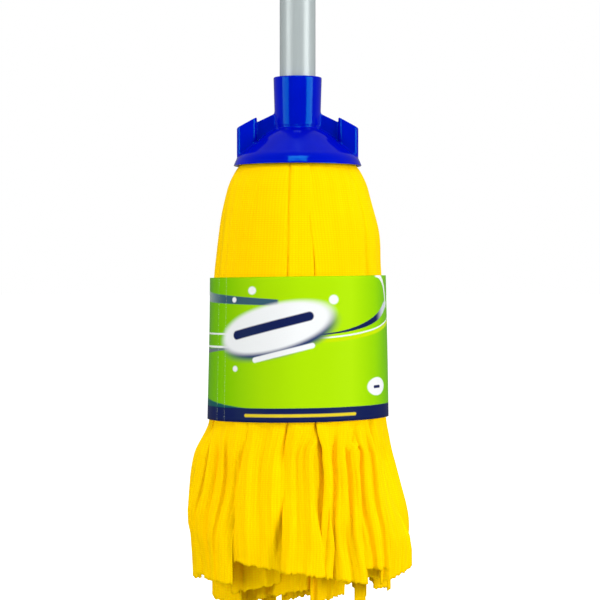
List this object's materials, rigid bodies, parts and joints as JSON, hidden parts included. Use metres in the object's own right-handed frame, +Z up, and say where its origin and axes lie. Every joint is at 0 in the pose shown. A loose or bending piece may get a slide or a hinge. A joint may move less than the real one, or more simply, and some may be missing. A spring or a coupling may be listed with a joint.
{
  "type": "string mop",
  "caption": "Floor mop with a tube handle screwed into a moulded cap, hanging layers of cloth strips and a card sleeve round them.",
  "frame": {"origin": "where a hook bears on the crown of the hanging eye's hole", "axes": "+Z up along the handle, away from the cloth; +X towards one wing of the cap; +Y from front to back"},
  "size_m": [0.1332, 0.1332, 1.4515],
  "materials": {
    "cap_plastic": "gloss",
    "tip_plastic": "satin",
    "coated_tube": "satin",
    "screw_steel": "satin",
    "printed_card": "satin",
    "yellow_cloth": "matte"
  },
  "bodies": {
    "hanger": {"hang_eye": "cap_plastic"},
    "handle": {"end_cap": "cap_plastic", "handle_tube": "coated_tube", "threaded_tip": "tip_plastic"},
    "head": {"head_socket": "cap_plastic", "head_bell": "cap_plastic", "clamp_dish": "cap_plastic", "clamp_screw": "screw_steel", "outer_strip_01": "yellow_cloth", "outer_strip_02": "yellow_cloth", "outer_strip_03": "yellow_cloth", "outer_strip_04": "yellow_cloth", "outer_strip_05": "yellow_cloth", "outer_strip_06": "yellow_cloth", "outer_strip_07": "yellow_cloth", "outer_strip_08": "yellow_cloth", "outer_strip_09": "yellow_cloth", "outer_strip_10": "yellow_cloth", "outer_strip_11": "yellow_cloth", "outer_strip_12": "yellow_cloth", "outer_strip_13": "yellow_cloth", "outer_strip_14": "yellow_cloth", "outer_strip_15": "yellow_cloth", "outer_strip_16": "yellow_cloth", "middle_strip_01": "yellow_cloth", "middle_strip_02": "yellow_cloth", "middle_strip_03": "yellow_cloth", "middle_strip_04": "yellow_cloth", "middle_strip_05": "yellow_cloth", "middle_strip_06": "yellow_cloth", "middle_strip_07": "yellow_cloth", "middle_strip_08": "yellow_cloth", "middle_strip_09": "yellow_cloth", "middle_strip_10": "yellow_cloth", "middle_strip_11": "yellow_cloth", "middle_strip_12": "yellow_cloth", "middle_strip_13": "yellow_cloth", "inner_strip_01": "yellow_cloth", "inner_strip_02": "yellow_cloth", "inner_strip_03": "yellow_cloth", "inner_strip_04": "yellow_cloth", "inner_strip_05": "yellow_cloth", "inner_strip_06": "yellow_cloth", "inner_strip_07": "yellow_cloth", "inner_strip_08": "yellow_cloth", "inner_strip_09": "yellow_cloth", "core_strip_01": "yellow_cloth", "core_strip_02": "yellow_cloth", "core_strip_03": "yellow_cloth", "core_strip_04": "yellow_cloth", "core_strip_05": "yellow_cloth"},
    "sleeve": {"card_sleeve": "printed_card"}
  },
  "joints": [
    {"name": "handle_turn", "type": "hinge", "parent": "hanger", "child": "handle", "pos_m": [0, 0, -1.134], "axis": [0, 0, 1], "range_deg": [0, 1800]},
    {"name": "head_unscrew", "type": "slide", "parent": "hanger", "child": "head", "axis": [0, 0, -1], "range_m": [0, 0.0251]},
    {"name": "sleeve_slide", "type": "slide", "parent": "head", "child": "sleeve", "axis": [0, 0, 1], "range_m": [0, 0.1]}
  ],
  "couplings": [
    {"joint": "head_unscrew", "follows": "handle_turn", "m_per_rad": 0.00079577}
  ]
}
